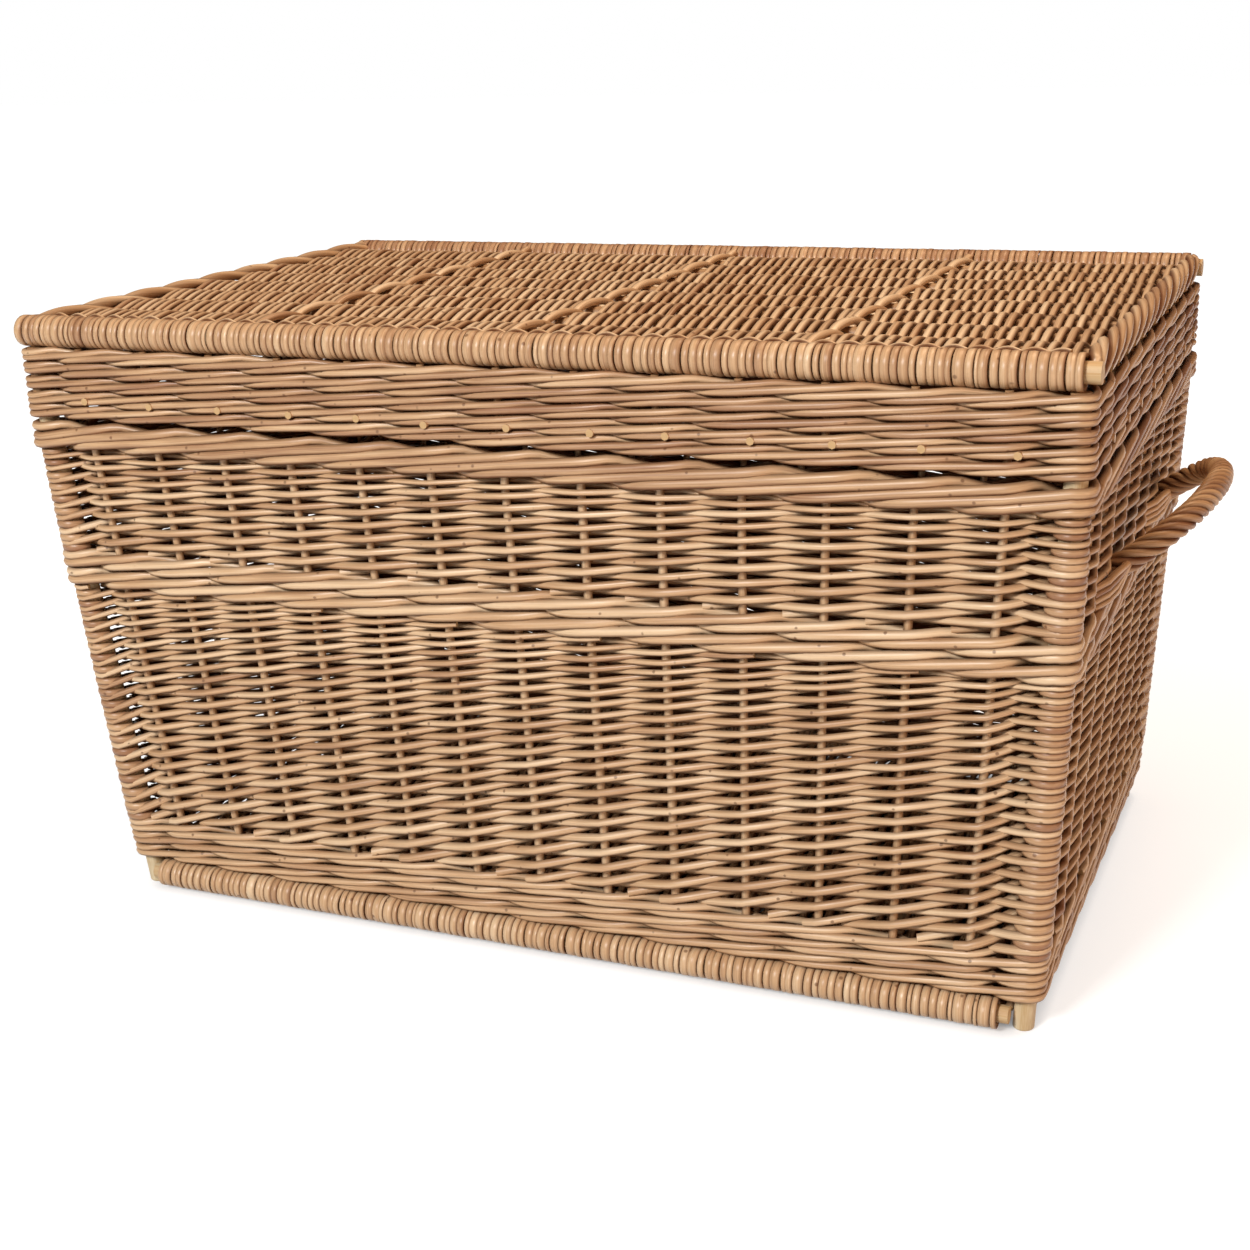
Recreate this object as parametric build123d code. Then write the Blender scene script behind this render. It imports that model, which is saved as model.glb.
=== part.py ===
import os

from build123d import *

# Woven willow laundry hamper: a tapered square-work body and a shallow box lid, hinged at the rear.
# Millimetres, +X along the long side, -Y to the front, +Z up, origin on the floor under the middle.

# Outer size of the body at its rim and, at the floor, of the same leaning faces
rim_length = 752.0
rim_depth = 480.0
floor_length = 703.0
floor_depth = 422.0

# Heights of the bands of weaving, from the base upwards
foot_clear = 2.0
base_roll_diameter = 21.0
bottom_wale_height = 33.0
lower_weave_height = 190.0
middle_wale_height = 27.0
upper_weave_height = 76.0
border_height = 20.0

# Thickness of the walls, and how far the wales and the border stand out from the plain weave
weave_thickness = 15.0
wale_proud = 2.0

# Play between a weaver and the stake or stick that it passes
weaver_play = 0.3

# Uprights: bare corner posts wrapped by the weavers, and thinner stakes inside the walls
post_diameter = 14.0
post_foot_round = 1.5
weaver_diameter = 4.6
stake_diameter = 6.0
front_stakes = 13
end_stakes = 8
stake_end_gap = 38.0

# Base: rolled front and rear edges round a stick each, and sticks through the floor weave
base_edge_proud = 7.0
base_end_setback = 8.0
base_edge_stick_diameter = 12.0
base_stick_diameter = 10.0
base_sticks = 7

# Lid
lid_setback = 1.0
lid_gap = 3.2
lid_wall_height = 49.0
lid_wall_thickness = 15.0
lid_roll_diameter = 22.6
lid_panel_thickness = 18.0
lid_weaver_pitch = 5.4
lid_edge_stick_diameter = 13.0
lid_stick_diameter = 9.0
lid_sticks = 8
lid_stick_end = 3.0
lid_end_border_width = 16.0
lid_end_border_round = 6.0
lid_post_diameter = 12.0
lid_wrap_thickness = 5.0
lid_stake_diameter = 5.0

# Roped end handles, anchored in a gap between two stakes just above the middle wale
handle_diameter = 17.0
handle_stake_index = 2
handle_height = 11.0
handle_tilt = 36.0
handle_reach = 66.0
handle_shoulder_reach = 44.0
handle_draw_in = 13.0
handle_tail = 24.0
handle_shoulder_radius = 44.0
handle_crown_radius = 105.0

# Willow hinge loops, fixed in the rear border round the lid's rear rod
hinge_stake_index = 2
hinge_rod_diameter = 12.0
loop_thickness = 4.5
loop_width = 13.0
loop_depth = 18.0
loop_swing_room = 2.6

# Clearances: a rod in its hole, a piece against its neighbour, a moving piece over its seat
bore_clearance = 0.15
seat_gap = 0.2
moving_gap = 0.3

# Heights that follow
base_middle = foot_clear + base_roll_diameter / 2
wale_bottom = foot_clear + base_roll_diameter + seat_gap
lower_bottom = wale_bottom + bottom_wale_height
middle_bottom = lower_bottom + lower_weave_height
upper_bottom = middle_bottom + middle_wale_height
border_bottom = upper_bottom + upper_weave_height
rim_height = border_bottom + border_height
lid_bottom = rim_height + lid_gap
lid_wall_top = lid_bottom + lid_wall_height
lid_middle = lid_wall_top + lid_roll_diameter / 2
lid_top = lid_wall_top + lid_roll_diameter

# Plan sizes that follow
post_radius = post_diameter / 2
wrap_radius = post_radius + bore_clearance + weaver_diameter
post_inset = wale_proud + wrap_radius
wale_thickness = weave_thickness + wale_proud
stake_inset = wale_proud + weave_thickness / 2
lid_half_length = rim_length / 2 - lid_setback
lid_half_depth = rim_depth / 2
lid_wrap_radius = lid_post_diameter / 2 + bore_clearance + lid_wrap_thickness
hinge_radius = hinge_rod_diameter / 2
hinge_y = lid_half_depth - hinge_radius
hinge_z = lid_bottom + hinge_radius
loop_inner = hinge_radius + moving_gap
loop_outer = loop_inner + loop_thickness
reach = rim_length + rim_depth


def half_length(z):
    return (floor_length + (rim_length - floor_length) * z / rim_height) / 2


def half_depth(z):
    return (floor_depth + (rim_depth - floor_depth) * z / rim_height) / 2


def post_x(z):
    return half_length(z) - post_inset


def post_y(z):
    return half_depth(z) - post_inset


def spread(count, half_span):
    """Evenly spaced places between two edges at plus and minus half_span"""
    pitch = 2 * half_span / (count + 1)
    return [-half_span + pitch * (i + 1) for i in range(count)]


def stake_places(count, half_span):
    """Places of a wall's stakes between two posts at plus and minus half_span, the end ones close to the posts"""
    first = stake_end_gap - half_span
    pitch = -2 * first / (count - 1)
    return [first + pitch * i for i in range(count)]


def slice_between(low, high):
    """Level slab that trims leaning pieces to a height range"""
    return Pos(0, 0, low) * Box(reach, reach, high - low, align=(Align.CENTER, Align.CENTER, Align.MIN))


def leaning_rod(low_point, high_point, radius):
    """Round rod through two points, run on past both of them"""
    axis = high_point - low_point
    start = low_point - axis.normalized() * weave_thickness
    length = axis.length + 2 * weave_thickness
    rod = Cylinder(radius, length, align=(Align.CENTER, Align.CENTER, Align.MIN))
    return Plane(origin=start, z_dir=axis) * rod


def rod_along_x(half, radius, y, z):
    return Pos(0, y, z) * Rot(0, 90, 0) * Cylinder(radius, 2 * half)


def profile_yz(points):
    return Plane.YZ * make_face(Polyline(*points, close=True))


def profile_xz(points):
    return Plane.XZ * make_face(Polyline(*points, close=True))


def front_band(low, high):
    """Slab of the front wall between two heights; both faces lean, the ends stop at the post wraps"""
    y_low = -half_depth(low)
    y_high = -half_depth(high)
    thickness = wale_thickness
    x_low = post_x(low) - wrap_radius - bore_clearance
    x_high = post_x(high) - wrap_radius - bore_clearance
    side = [(y_low, low), (y_high, high), (y_high + thickness, high), (y_low + thickness, low)]
    face = [(-x_low, low), (x_low, low), (x_high, high), (-x_high, high)]
    return extrude(profile_yz(side), reach, both=True) & extrude(profile_xz(face), reach, both=True)


def right_band(low, high):
    """Slab of the right end wall, made as the front one is"""
    x_low = half_length(low)
    x_high = half_length(high)
    thickness = wale_thickness
    y_low = post_y(low) - wrap_radius - bore_clearance
    y_high = post_y(high) - wrap_radius - bore_clearance
    side = [(x_low, low), (x_high, high), (x_high - thickness, high), (x_low - thickness, low)]
    face = [(-y_low, low), (y_low, low), (y_high, high), (-y_high, high)]
    return extrude(profile_xz(side), reach, both=True) & extrude(profile_yz(face), reach, both=True)


def woven_strip(places, sides, stick_diameter, panel_thickness, width):
    """One weaver laid in zigzag past sticks, along local X, on either side of them and width high"""
    thickness = (panel_thickness - stick_diameter) / 2 - weaver_play
    swing = (panel_thickness - thickness) / 2
    outer = [(x, -side * swing - thickness / 2) for x, side in zip(places, sides)]
    inner = [(x, -side * swing + thickness / 2) for x, side in zip(places, sides)]
    return extrude(make_face(Polyline(*outer, *reversed(inner), close=True)), width, dir=(0, 0, 1))


def woven_panel(low, high, first_side, stakes, half_span, middle):
    """Rows of plain weave for a leaning wall along X that faces -Y, each row before one stake and behind the next"""
    rows = int((high - low) / weaver_diameter)
    pitch = (high - low) / rows
    strips = []
    for row in range(rows):
        z = low + pitch * (row + 0.5)
        end = half_span(z) - wrap_radius - bore_clearance - seat_gap
        places = [-end, *stake_places(stakes, half_span(z)), end]
        sides = [first_side * (-1) ** (row + i) for i in range(stakes)]
        sides = [0, *sides, 0]
        strip = woven_strip(places, sides, stake_diameter, weave_thickness, pitch - seat_gap)
        strips.append(Pos(0, -middle(z), z - pitch / 2 + seat_gap / 2) * strip)
    return strips


def front_weave(low, high, first_side):
    return woven_panel(low, high, first_side, front_stakes, post_x, lambda z: half_depth(z) - stake_inset)


def right_weave(low, high, first_side):
    strips = woven_panel(low, high, first_side, end_stakes, post_y, lambda z: half_length(z) - stake_inset)
    return [Rot(0, 0, 90) * strip for strip in strips]


def front_stake_rods(radius):
    """Rods through the front wall; they draw together towards the floor"""
    ends = zip(stake_places(front_stakes, post_x(0)), stake_places(front_stakes, post_x(rim_height)))
    y_low = -half_depth(0) + stake_inset
    y_high = -half_depth(rim_height) + stake_inset
    return [leaning_rod(Vector(a, y_low, 0), Vector(b, y_high, rim_height), radius) for a, b in ends]


def right_stake_rods(radius):
    ends = zip(stake_places(end_stakes, post_y(0)), stake_places(end_stakes, post_y(rim_height)))
    x_low = half_length(0) - stake_inset
    x_high = half_length(rim_height) - stake_inset
    return [leaning_rod(Vector(x_low, a, 0), Vector(x_high, b, rim_height), radius) for a, b in ends]


def save(shape, node):
    export_step(shape, f"parts/{node}.step")


def save_group(solids, node):
    save(Compound(children=list(solids)), node)


os.makedirs("parts", exist_ok=True)

# Base: one woven floor with rolled long edges, on sticks that run along the hamper
base_roll_radius = base_roll_diameter / 2
base_edge_y = half_depth(0) + base_edge_proud - base_roll_radius
base_edge_half = post_x(0) - post_radius - seat_gap
base_half_length = half_length(0) - base_end_setback
base_stick_places = spread(base_sticks, base_edge_y)
floor_section = Plane.YZ * Pos(0, base_middle) * SlotCenterToCenter(2 * base_edge_y, base_roll_diameter)
floor_end_half = post_y(0) - post_radius - seat_gap
floor_ends = Box(2 * base_half_length, 2 * floor_end_half, base_roll_diameter)
base_weave = extrude(floor_section, base_edge_half, both=True) + Pos(0, 0, base_middle) * floor_ends
base_bores = [
    rod_along_x(reach, base_stick_diameter / 2 + bore_clearance, y, base_middle) for y in base_stick_places
]
base_edge_bores = [
    rod_along_x(reach, base_edge_stick_diameter / 2 + bore_clearance, side * base_edge_y, base_middle)
    for side in (-1, 1)
]
save(base_weave - base_bores - base_edge_bores, "base_weave")
save_group(
    [rod_along_x(base_half_length, base_stick_diameter / 2, y, base_middle) for y in base_stick_places],
    "base_inner_sticks",
)
for side, name in ((-1, "front"), (1, "rear")):
    stick = rod_along_x(base_edge_half, base_edge_stick_diameter / 2, side * base_edge_y, base_middle)
    save(stick, f"base_edge_stick_{name}")

# Corner posts with their bare feet, and the weavers that turn round them
post_line = (Vector(post_x(0), post_y(0), 0), Vector(post_x(rim_height), post_y(rim_height), rim_height))
post_core = leaning_rod(*post_line, post_radius)
wrap_core = leaning_rod(*post_line, wrap_radius) - leaning_rod(*post_line, post_radius + bore_clearance)
corner_wrap = wrap_core & slice_between(wale_bottom, rim_height)
post_tops = {"front": lid_bottom - moving_gap, "rear": rim_height}
for row, top in post_tops.items():
    post = post_core & slice_between(0, top)
    post = fillet(post.edges().group_by(Axis.Z)[0], post_foot_round)
    wrap = corner_wrap
    if row == "front":
        post = mirror(post, Plane.XZ)
        wrap = mirror(wrap, Plane.XZ)
    save(post, f"corner_post_{row}_right")
    save(mirror(post, Plane.YZ), f"corner_post_{row}_left")
    save(wrap, f"corner_wrap_{row}_right")
    save(mirror(wrap, Plane.YZ), f"corner_wrap_{row}_left")

# Roped handles: a tilted arch whose legs go through the end walls between two stakes
anchor_z = upper_bottom + handle_height
handle_places = stake_places(end_stakes, post_y(anchor_z))
leg_y = (abs(handle_places[handle_stake_index - 1]) + abs(handle_places[handle_stake_index])) / 2
handle_plane = Plane(
    origin=(half_length(anchor_z) - wale_proud, 0, anchor_z),
    x_dir=(0, 1, 0),
    z_dir=Vector(0, 0, -1).rotate(Axis.Y, -handle_tilt),
)
handle_points = [
    (-leg_y, -handle_tail),
    (-leg_y + handle_draw_in, handle_shoulder_reach),
    (0, handle_reach),
    (leg_y - handle_draw_in, handle_shoulder_reach),
    (leg_y, -handle_tail),
]
handle_radii = [handle_shoulder_radius, handle_crown_radius, handle_shoulder_radius]
handle_path = handle_plane * FilletPolyline(*handle_points, radius=handle_radii)


def handle_tube(radius):
    start = Plane(origin=handle_path @ 0, z_dir=handle_path % 0)
    return sweep(start * Circle(radius), path=handle_path)


handle = handle_tube(handle_diameter / 2)
handle_bore = handle_tube(handle_diameter / 2 + bore_clearance)
save(handle, "handle_right")
save(mirror(handle, Plane.YZ), "handle_left")

# Hinge loops: oval willow rings through the rear border, each in a gap between two stakes
hinge_places = stake_places(front_stakes, post_x(rim_height))
loop_x = (abs(hinge_places[hinge_stake_index - 1]) + abs(hinge_places[hinge_stake_index])) / 2


def oval_ring(x, width, inner, outer):
    """Oval ring about the hinge axis that hangs down into the border"""
    middle = Plane.YZ.offset(x) * Pos(hinge_y, hinge_z - loop_depth / 2)
    ring = SlotCenterToCenter(loop_depth, 2 * outer, 90) - SlotCenterToCenter(loop_depth, 2 * inner, 90)
    return extrude(middle * ring, width / 2, both=True)


loop_slots = [
    oval_ring(x, loop_width + 2 * seat_gap, loop_inner - seat_gap, loop_outer + seat_gap)
    for x in (-loop_x, loop_x)
]
save(oval_ring(-loop_x, loop_width, loop_inner, loop_outer), "hinge_loop_left")
save(oval_ring(loop_x, loop_width, loop_inner, loop_outer), "hinge_loop_right")

# Wales and border: a close band round the wall, threaded on the stakes
bands = [
    ("bottom_wale", wale_bottom, lower_bottom),
    ("middle_wale", middle_bottom, upper_bottom),
    ("top_border", border_bottom, rim_height),
]
front_bores = front_stake_rods(stake_diameter / 2 + bore_clearance)
right_bores = right_stake_rods(stake_diameter / 2 + bore_clearance)
for name, low, high in bands:
    front = front_band(low, high) - front_bores
    rear = mirror(front, Plane.XZ)
    right = right_band(low, high) - right_bores
    if name == "top_border":
        rear = rear - loop_slots
    if name == "middle_wale":
        right = right - handle_bore
    save(front, f"{name}_front")
    save(rear, f"{name}_rear")
    save(right, f"{name}_right")
    save(mirror(right, Plane.YZ), f"{name}_left")

# Plain woven panels: thin rods in rows, open enough to see through, the handle's legs pushed in between
panels = [("lower_weave", lower_bottom, middle_bottom, 1), ("upper_weave", upper_bottom, border_bottom, -1)]
for name, low, high, first_side in panels:
    right_strips = right_weave(low, high, first_side)
    if name == "upper_weave":
        right_strips = [solid for strip in right_strips for solid in (strip - handle_bore).solids()]
    save_group(front_weave(low, high, first_side), f"{name}_front")
    save_group([mirror(strip, Plane.XZ) for strip in front_weave(low, high, -first_side)], f"{name}_rear")
    save_group(right_strips, f"{name}_right")
    save_group([mirror(strip, Plane.YZ) for strip in right_strips], f"{name}_left")

# Stakes, cut off level at the foot of the wall and under the lid
stake_range = slice_between(wale_bottom, rim_height)
front_stake_solids = [rod & stake_range for rod in front_stake_rods(stake_diameter / 2)]
right_stake_solids = [rod & stake_range for rod in right_stake_rods(stake_diameter / 2)]
save_group(front_stake_solids, "stakes_front")
save_group([mirror(rod, Plane.XZ) for rod in front_stake_solids], "stakes_rear")
save_group(right_stake_solids, "stakes_right")
save_group([mirror(rod, Plane.YZ) for rod in right_stake_solids], "stakes_left")

# Lid top: a woven panel on sticks, rolled over its front and rear sticks
lid_roll_radius = lid_roll_diameter / 2
lid_edge_y = lid_half_depth - lid_roll_radius
lid_roll_half = lid_half_length - lid_stick_end
lid_panel_half = lid_half_length - lid_end_border_width - seat_gap
lid_stick_places = spread(lid_sticks, lid_edge_y)
lid_weaver_end = lid_edge_y - lid_roll_radius - seat_gap
lid_weavers = int(2 * lid_panel_half / lid_weaver_pitch)
lid_pitch = 2 * lid_panel_half / lid_weavers
lid_weave = []
for weaver in range(lid_weavers):
    sides = [(-1) ** (weaver + i) for i in range(lid_sticks)]
    places = [-lid_weaver_end, *lid_stick_places, lid_weaver_end]
    strip = woven_strip(places, [-0.7, *sides, -0.7], lid_stick_diameter, lid_panel_thickness, lid_pitch - seat_gap)
    x = -lid_panel_half + lid_pitch * weaver + seat_gap / 2
    lid_weave.append(Plane(origin=(x, 0, lid_middle), x_dir=(0, 1, 0), z_dir=(1, 0, 0)) * strip)
for side, name in ((-1, "front"), (1, "rear")):
    bore_radius = lid_edge_stick_diameter / 2 + bore_clearance
    roll = rod_along_x(lid_roll_half, lid_roll_radius, side * lid_edge_y, lid_middle)
    lid_weave.append(roll - rod_along_x(reach, bore_radius, side * lid_edge_y, lid_middle))
    stick = rod_along_x(lid_half_length, lid_edge_stick_diameter / 2, side * lid_edge_y, lid_middle)
    save(stick, f"lid_edge_stick_{name}")
save_group(lid_weave, "lid_weave")
save_group(
    [rod_along_x(lid_panel_half, lid_stick_diameter / 2, y, lid_middle) for y in lid_stick_places],
    "lid_inner_sticks",
)
end_border_half = lid_edge_y - lid_roll_radius - seat_gap
end_border = Box(lid_end_border_width, 2 * end_border_half, lid_roll_diameter)
end_border = fillet(end_border.edges().filter_by(Axis.Y), lid_end_border_round)
end_border = Pos(lid_half_length - lid_end_border_width / 2, 0, lid_middle) * end_border
save(end_border, "lid_end_border_right")
save(mirror(end_border, Plane.YZ), "lid_end_border_left")

# Lid walls, upright, with posts in the corners and stakes between
lid_post_x = lid_half_length - lid_wrap_radius
lid_post_y = lid_half_depth - lid_wrap_radius
lid_corners = [(x * lid_post_x, y * lid_post_y) for x in (-1, 1) for y in (-1, 1)]


def upright(x, y, low, high, radius):
    return Pos(x, y, low) * Cylinder(radius, high - low, align=(Align.CENTER, Align.CENTER, Align.MIN))


def lid_wrap(x, y):
    outer = upright(x, y, lid_bottom, lid_wall_top, lid_wrap_radius)
    return outer - upright(x, y, lid_bottom, lid_wall_top, lid_post_diameter / 2 + bore_clearance)


save_group(
    [upright(x, y, lid_bottom, lid_wall_top, lid_post_diameter / 2) for x, y in lid_corners],
    "lid_corner_posts",
)
save_group([lid_wrap(x, y) for x, y in lid_corners], "lid_corner_wraps")

lid_wall_y = lid_half_depth - lid_wall_thickness / 2
lid_wall_x = lid_half_length - lid_wall_thickness / 2
lid_front_half = lid_post_x - lid_wrap_radius - bore_clearance
lid_end_half = lid_post_y - lid_wrap_radius - bore_clearance
lid_front_places = stake_places(front_stakes, post_x(rim_height))
lid_end_places = stake_places(end_stakes, post_y(rim_height))
rear_wall_bottom = lid_bottom + hinge_rod_diameter


def lid_stake(x, y, low, clearance):
    return upright(x, y, low, lid_wall_top, lid_stake_diameter / 2 + clearance)


def lid_wall(length, depth, low):
    return Pos(0, 0, low) * Box(length, depth, lid_wall_top - low, align=(Align.CENTER, Align.CENTER, Align.MIN))


front_holes = [lid_stake(x, -lid_wall_y, lid_bottom, bore_clearance) for x in lid_front_places]
rear_holes = [lid_stake(x, lid_wall_y, lid_bottom, bore_clearance) for x in lid_front_places]
right_holes = [lid_stake(lid_wall_x, y, lid_bottom, bore_clearance) for y in lid_end_places]
front_wall = Pos(0, -lid_wall_y, 0) * lid_wall(2 * lid_front_half, lid_wall_thickness, lid_bottom)
rear_wall = Pos(0, lid_wall_y, 0) * lid_wall(2 * lid_front_half, lid_wall_thickness, rear_wall_bottom)
right_wall = Pos(lid_wall_x, 0, 0) * lid_wall(lid_wall_thickness, 2 * lid_end_half, lid_bottom)
right_wall = right_wall - right_holes
notch_height = 2 * (loop_outer + loop_swing_room)
notch_width = loop_width + 2 * loop_swing_room
loop_notches = [Pos(x, hinge_y, hinge_z) * Box(notch_width, reach, notch_height) for x in (-loop_x, loop_x)]
save(front_wall - front_holes, "lid_wall_front")
save(rear_wall - rear_holes - loop_notches, "lid_wall_rear")
save(right_wall, "lid_wall_right")
save(mirror(right_wall, Plane.YZ), "lid_wall_left")

right_lid_stakes = [lid_stake(lid_wall_x, y, lid_bottom, 0) for y in lid_end_places]
save_group([lid_stake(x, -lid_wall_y, lid_bottom, 0) for x in lid_front_places], "lid_stakes_front")
save_group([lid_stake(x, lid_wall_y, rear_wall_bottom, 0) for x in lid_front_places], "lid_stakes_rear")
save_group(right_lid_stakes, "lid_stakes_right")
save_group([mirror(rod, Plane.YZ) for rod in right_lid_stakes], "lid_stakes_left")

# Lid's rear bottom rod, the round pin that turns in the hinge loops
save(rod_along_x(lid_front_half, hinge_radius, hinge_y, hinge_z), "lid_hinge_rod")

print(f"rim {rim_height:.1f}, lid bottom {lid_bottom:.1f}, top {lid_top:.1f}")
print(f"hinge axis y {hinge_y:.1f} z {hinge_z:.1f}, loops at x {loop_x:.1f}, handle legs at y {leg_y:.1f}")
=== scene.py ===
import math

import bpy
import numpy as np
from mathutils import Matrix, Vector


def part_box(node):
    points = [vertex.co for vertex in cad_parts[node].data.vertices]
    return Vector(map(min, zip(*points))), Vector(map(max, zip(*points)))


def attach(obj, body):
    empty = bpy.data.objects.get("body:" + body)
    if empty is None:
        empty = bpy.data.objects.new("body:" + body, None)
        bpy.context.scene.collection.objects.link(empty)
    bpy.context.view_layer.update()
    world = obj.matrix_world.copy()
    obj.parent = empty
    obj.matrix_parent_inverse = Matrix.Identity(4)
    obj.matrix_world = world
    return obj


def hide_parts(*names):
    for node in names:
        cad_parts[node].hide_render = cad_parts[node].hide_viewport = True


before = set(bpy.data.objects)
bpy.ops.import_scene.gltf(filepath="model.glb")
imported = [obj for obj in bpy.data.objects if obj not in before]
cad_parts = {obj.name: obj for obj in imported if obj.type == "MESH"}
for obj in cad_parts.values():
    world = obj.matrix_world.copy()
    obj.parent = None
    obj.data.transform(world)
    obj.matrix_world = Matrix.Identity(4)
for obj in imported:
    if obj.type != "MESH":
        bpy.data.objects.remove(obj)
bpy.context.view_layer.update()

# Floor of the hamper: round willow rods run from front to back, over and under the floor sticks.
# At the front and rear edge sticks each rod turns round the stick, so that the edge is a bound roll.
# Boiled and peeled (buff) willow: satin skin with fine long grain, bud marks and rods of mixed tone.


def box_mm(node):
    low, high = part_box(node)
    return np.array(low) * 1000.0, np.array(high) * 1000.0


def linear(code):
    """An sRGB hex colour as the linear colour that shaders take."""
    parts = [int(code[i:i + 2], 16) / 255.0 for i in (0, 2, 4)]
    return [p / 12.92 if p <= 0.04045 else ((p + 0.055) / 1.055) ** 2.4 for p in parts] + [1.0]


def add(tree, kind, inputs=(), **settings):
    """Adds a node. Inputs are values or other nodes' outputs by socket; settings are its properties."""
    made = tree.nodes.new(kind)
    for name, value in settings.items():
        setattr(made, name, value)
    for socket, value in dict(inputs).items():
        if isinstance(value, bpy.types.NodeSocket):
            tree.links.new(value, made.inputs[socket])
        else:
            made.inputs[socket].default_value = value
    return made


def blank_material(name):
    material = bpy.data.materials.new(name)
    material.use_nodes = True
    tree = material.node_tree
    tree.nodes.clear()
    shader = add(tree, "ShaderNodeBsdfPrincipled")
    output = add(tree, "ShaderNodeOutputMaterial")
    tree.links.new(shader.outputs["BSDF"], output.inputs["Surface"])
    return material, tree, shader


def rod_willow(name, light, middle, deep, roughness):
    """Willow skin on rods. rod_grain holds mm along and across each rod, rod_tone its own shade and
    rod_painted_shade the painted shade: dark on the rod's underside, less on its top, and on its side turned
    into the weave."""
    material, tree, shader = blank_material(name)
    place = add(tree, "ShaderNodeAttribute", attribute_name="rod_grain").outputs["Vector"]
    tone = add(tree, "ShaderNodeAttribute", attribute_name="rod_tone").outputs["Fac"]
    # How much painted shade lies on each spot of a rod's skin
    painted_shade = add(tree, "ShaderNodeAttribute", attribute_name="rod_painted_shade").outputs["Fac"]
    cut = add(tree, "ShaderNodeAttribute", attribute_name="cut_end").outputs["Fac"]
    # Grain lines about 0.7 mm apart and 45 mm long
    fine = add(tree, "ShaderNodeVectorMath", {0: place, 1: (1 / 45, 1 / 0.7, 1 / 0.7)},
               operation="MULTIPLY")
    grain = add(tree, "ShaderNodeTexNoise", {"Vector": fine.outputs[0], "Scale": 1.0, "Detail": 3.0})
    # Drifts of shade about 60 mm long and 5 mm wide
    slow = add(tree, "ShaderNodeVectorMath", {0: place, 1: (1 / 60, 1 / 5, 1 / 5)},
               operation="MULTIPLY")
    drift = add(tree, "ShaderNodeTexNoise", {"Vector": slow.outputs[0], "Scale": 1.0, "Detail": 2.0})
    shade = add(tree, "ShaderNodeMath", {0: grain.outputs["Fac"], 1: 0.6, 2: tone},
                operation="MULTIPLY_ADD")
    shade = add(tree, "ShaderNodeMath", {0: drift.outputs["Fac"], 1: 0.6, 2: shade.outputs[0]},
                operation="MULTIPLY_ADD")
    ramp = add(tree, "ShaderNodeValToRGB", {"Fac": shade.outputs[0]})
    ramp.color_ramp.elements[0].position = 0.38
    ramp.color_ramp.elements[0].color = linear(light)
    ramp.color_ramp.elements[1].position = 0.66
    ramp.color_ramp.elements[1].color = linear(middle)
    last = ramp.color_ramp.elements.new(1.0)
    last.color = linear(deep)
    # Bud marks about 2 mm across, one every 60 mm or so
    near = add(tree, "ShaderNodeTexVoronoi", {"Vector": place, "Scale": 1 / 12}, feature="F1")
    bud = add(tree, "ShaderNodeMapRange", {"Value": near.outputs["Distance"], "From Min": 0.07,
                                           "From Max": 0.12, "To Min": 0.7, "To Max": 0.0})
    marked = add(tree, "ShaderNodeMix", {0: bud.outputs["Result"], 6: ramp.outputs["Color"],
                                         7: linear("6A4226")}, data_type="RGBA")
    # Painted shade: the rod's underside most, its top less and its side turned into the weave go dark brown
    # and matt
    painted_shade_depth = add(tree, "ShaderNodeMapRange", {"Value": painted_shade, "From Min": 0.12, "From Max": 1.0,
                                             "To Min": 0.0, "To Max": 0.95}, interpolation_type="SMOOTHSTEP")
    # 5A2A0E is the painted shade's dark brown
    painted_shade_colour = add(tree, "ShaderNodeMix", {0: painted_shade_depth.outputs["Result"], 6: marked.outputs[2],
                                          7: linear("5A2A0E")}, data_type="RGBA")
    gloss = add(tree, "ShaderNodeMapRange", {"Value": painted_shade_depth.outputs["Result"], "To Min": 0.5,
                                             "To Max": 0.05})
    tree.links.new(gloss.outputs["Result"], shader.inputs["Specular IOR Level"])
    ended = add(tree, "ShaderNodeMix", {0: cut, 6: painted_shade_colour.outputs[2], 7: linear("CBA778")},
                data_type="RGBA")
    tree.links.new(ended.outputs[2], shader.inputs["Base Color"])
    rough = add(tree, "ShaderNodeMath", {0: grain.outputs["Fac"], 1: 0.2, 2: roughness},
                operation="MULTIPLY_ADD")
    tree.links.new(rough.outputs[0], shader.inputs["Roughness"])
    bump = add(tree, "ShaderNodeBump", {"Strength": 0.35, "Distance": 0.0003,
                                        "Height": grain.outputs["Fac"]})
    tree.links.new(bump.outputs["Normal"], shader.inputs["Normal"])
    return material


def rod(points, radius, up, tone, flat=1.0, painted_shade_depth=1.0, inside=0.0):
    """One rod: points in mm, its radius, a direction across it, a shade, how flat it lies across that
    direction, how deep the painted shade is on its underside and top, and how deep on its side turned into
    the weave."""
    return np.asarray(points, float), radius, np.asarray(up, float), tone, flat, painted_shade_depth, inside


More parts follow.
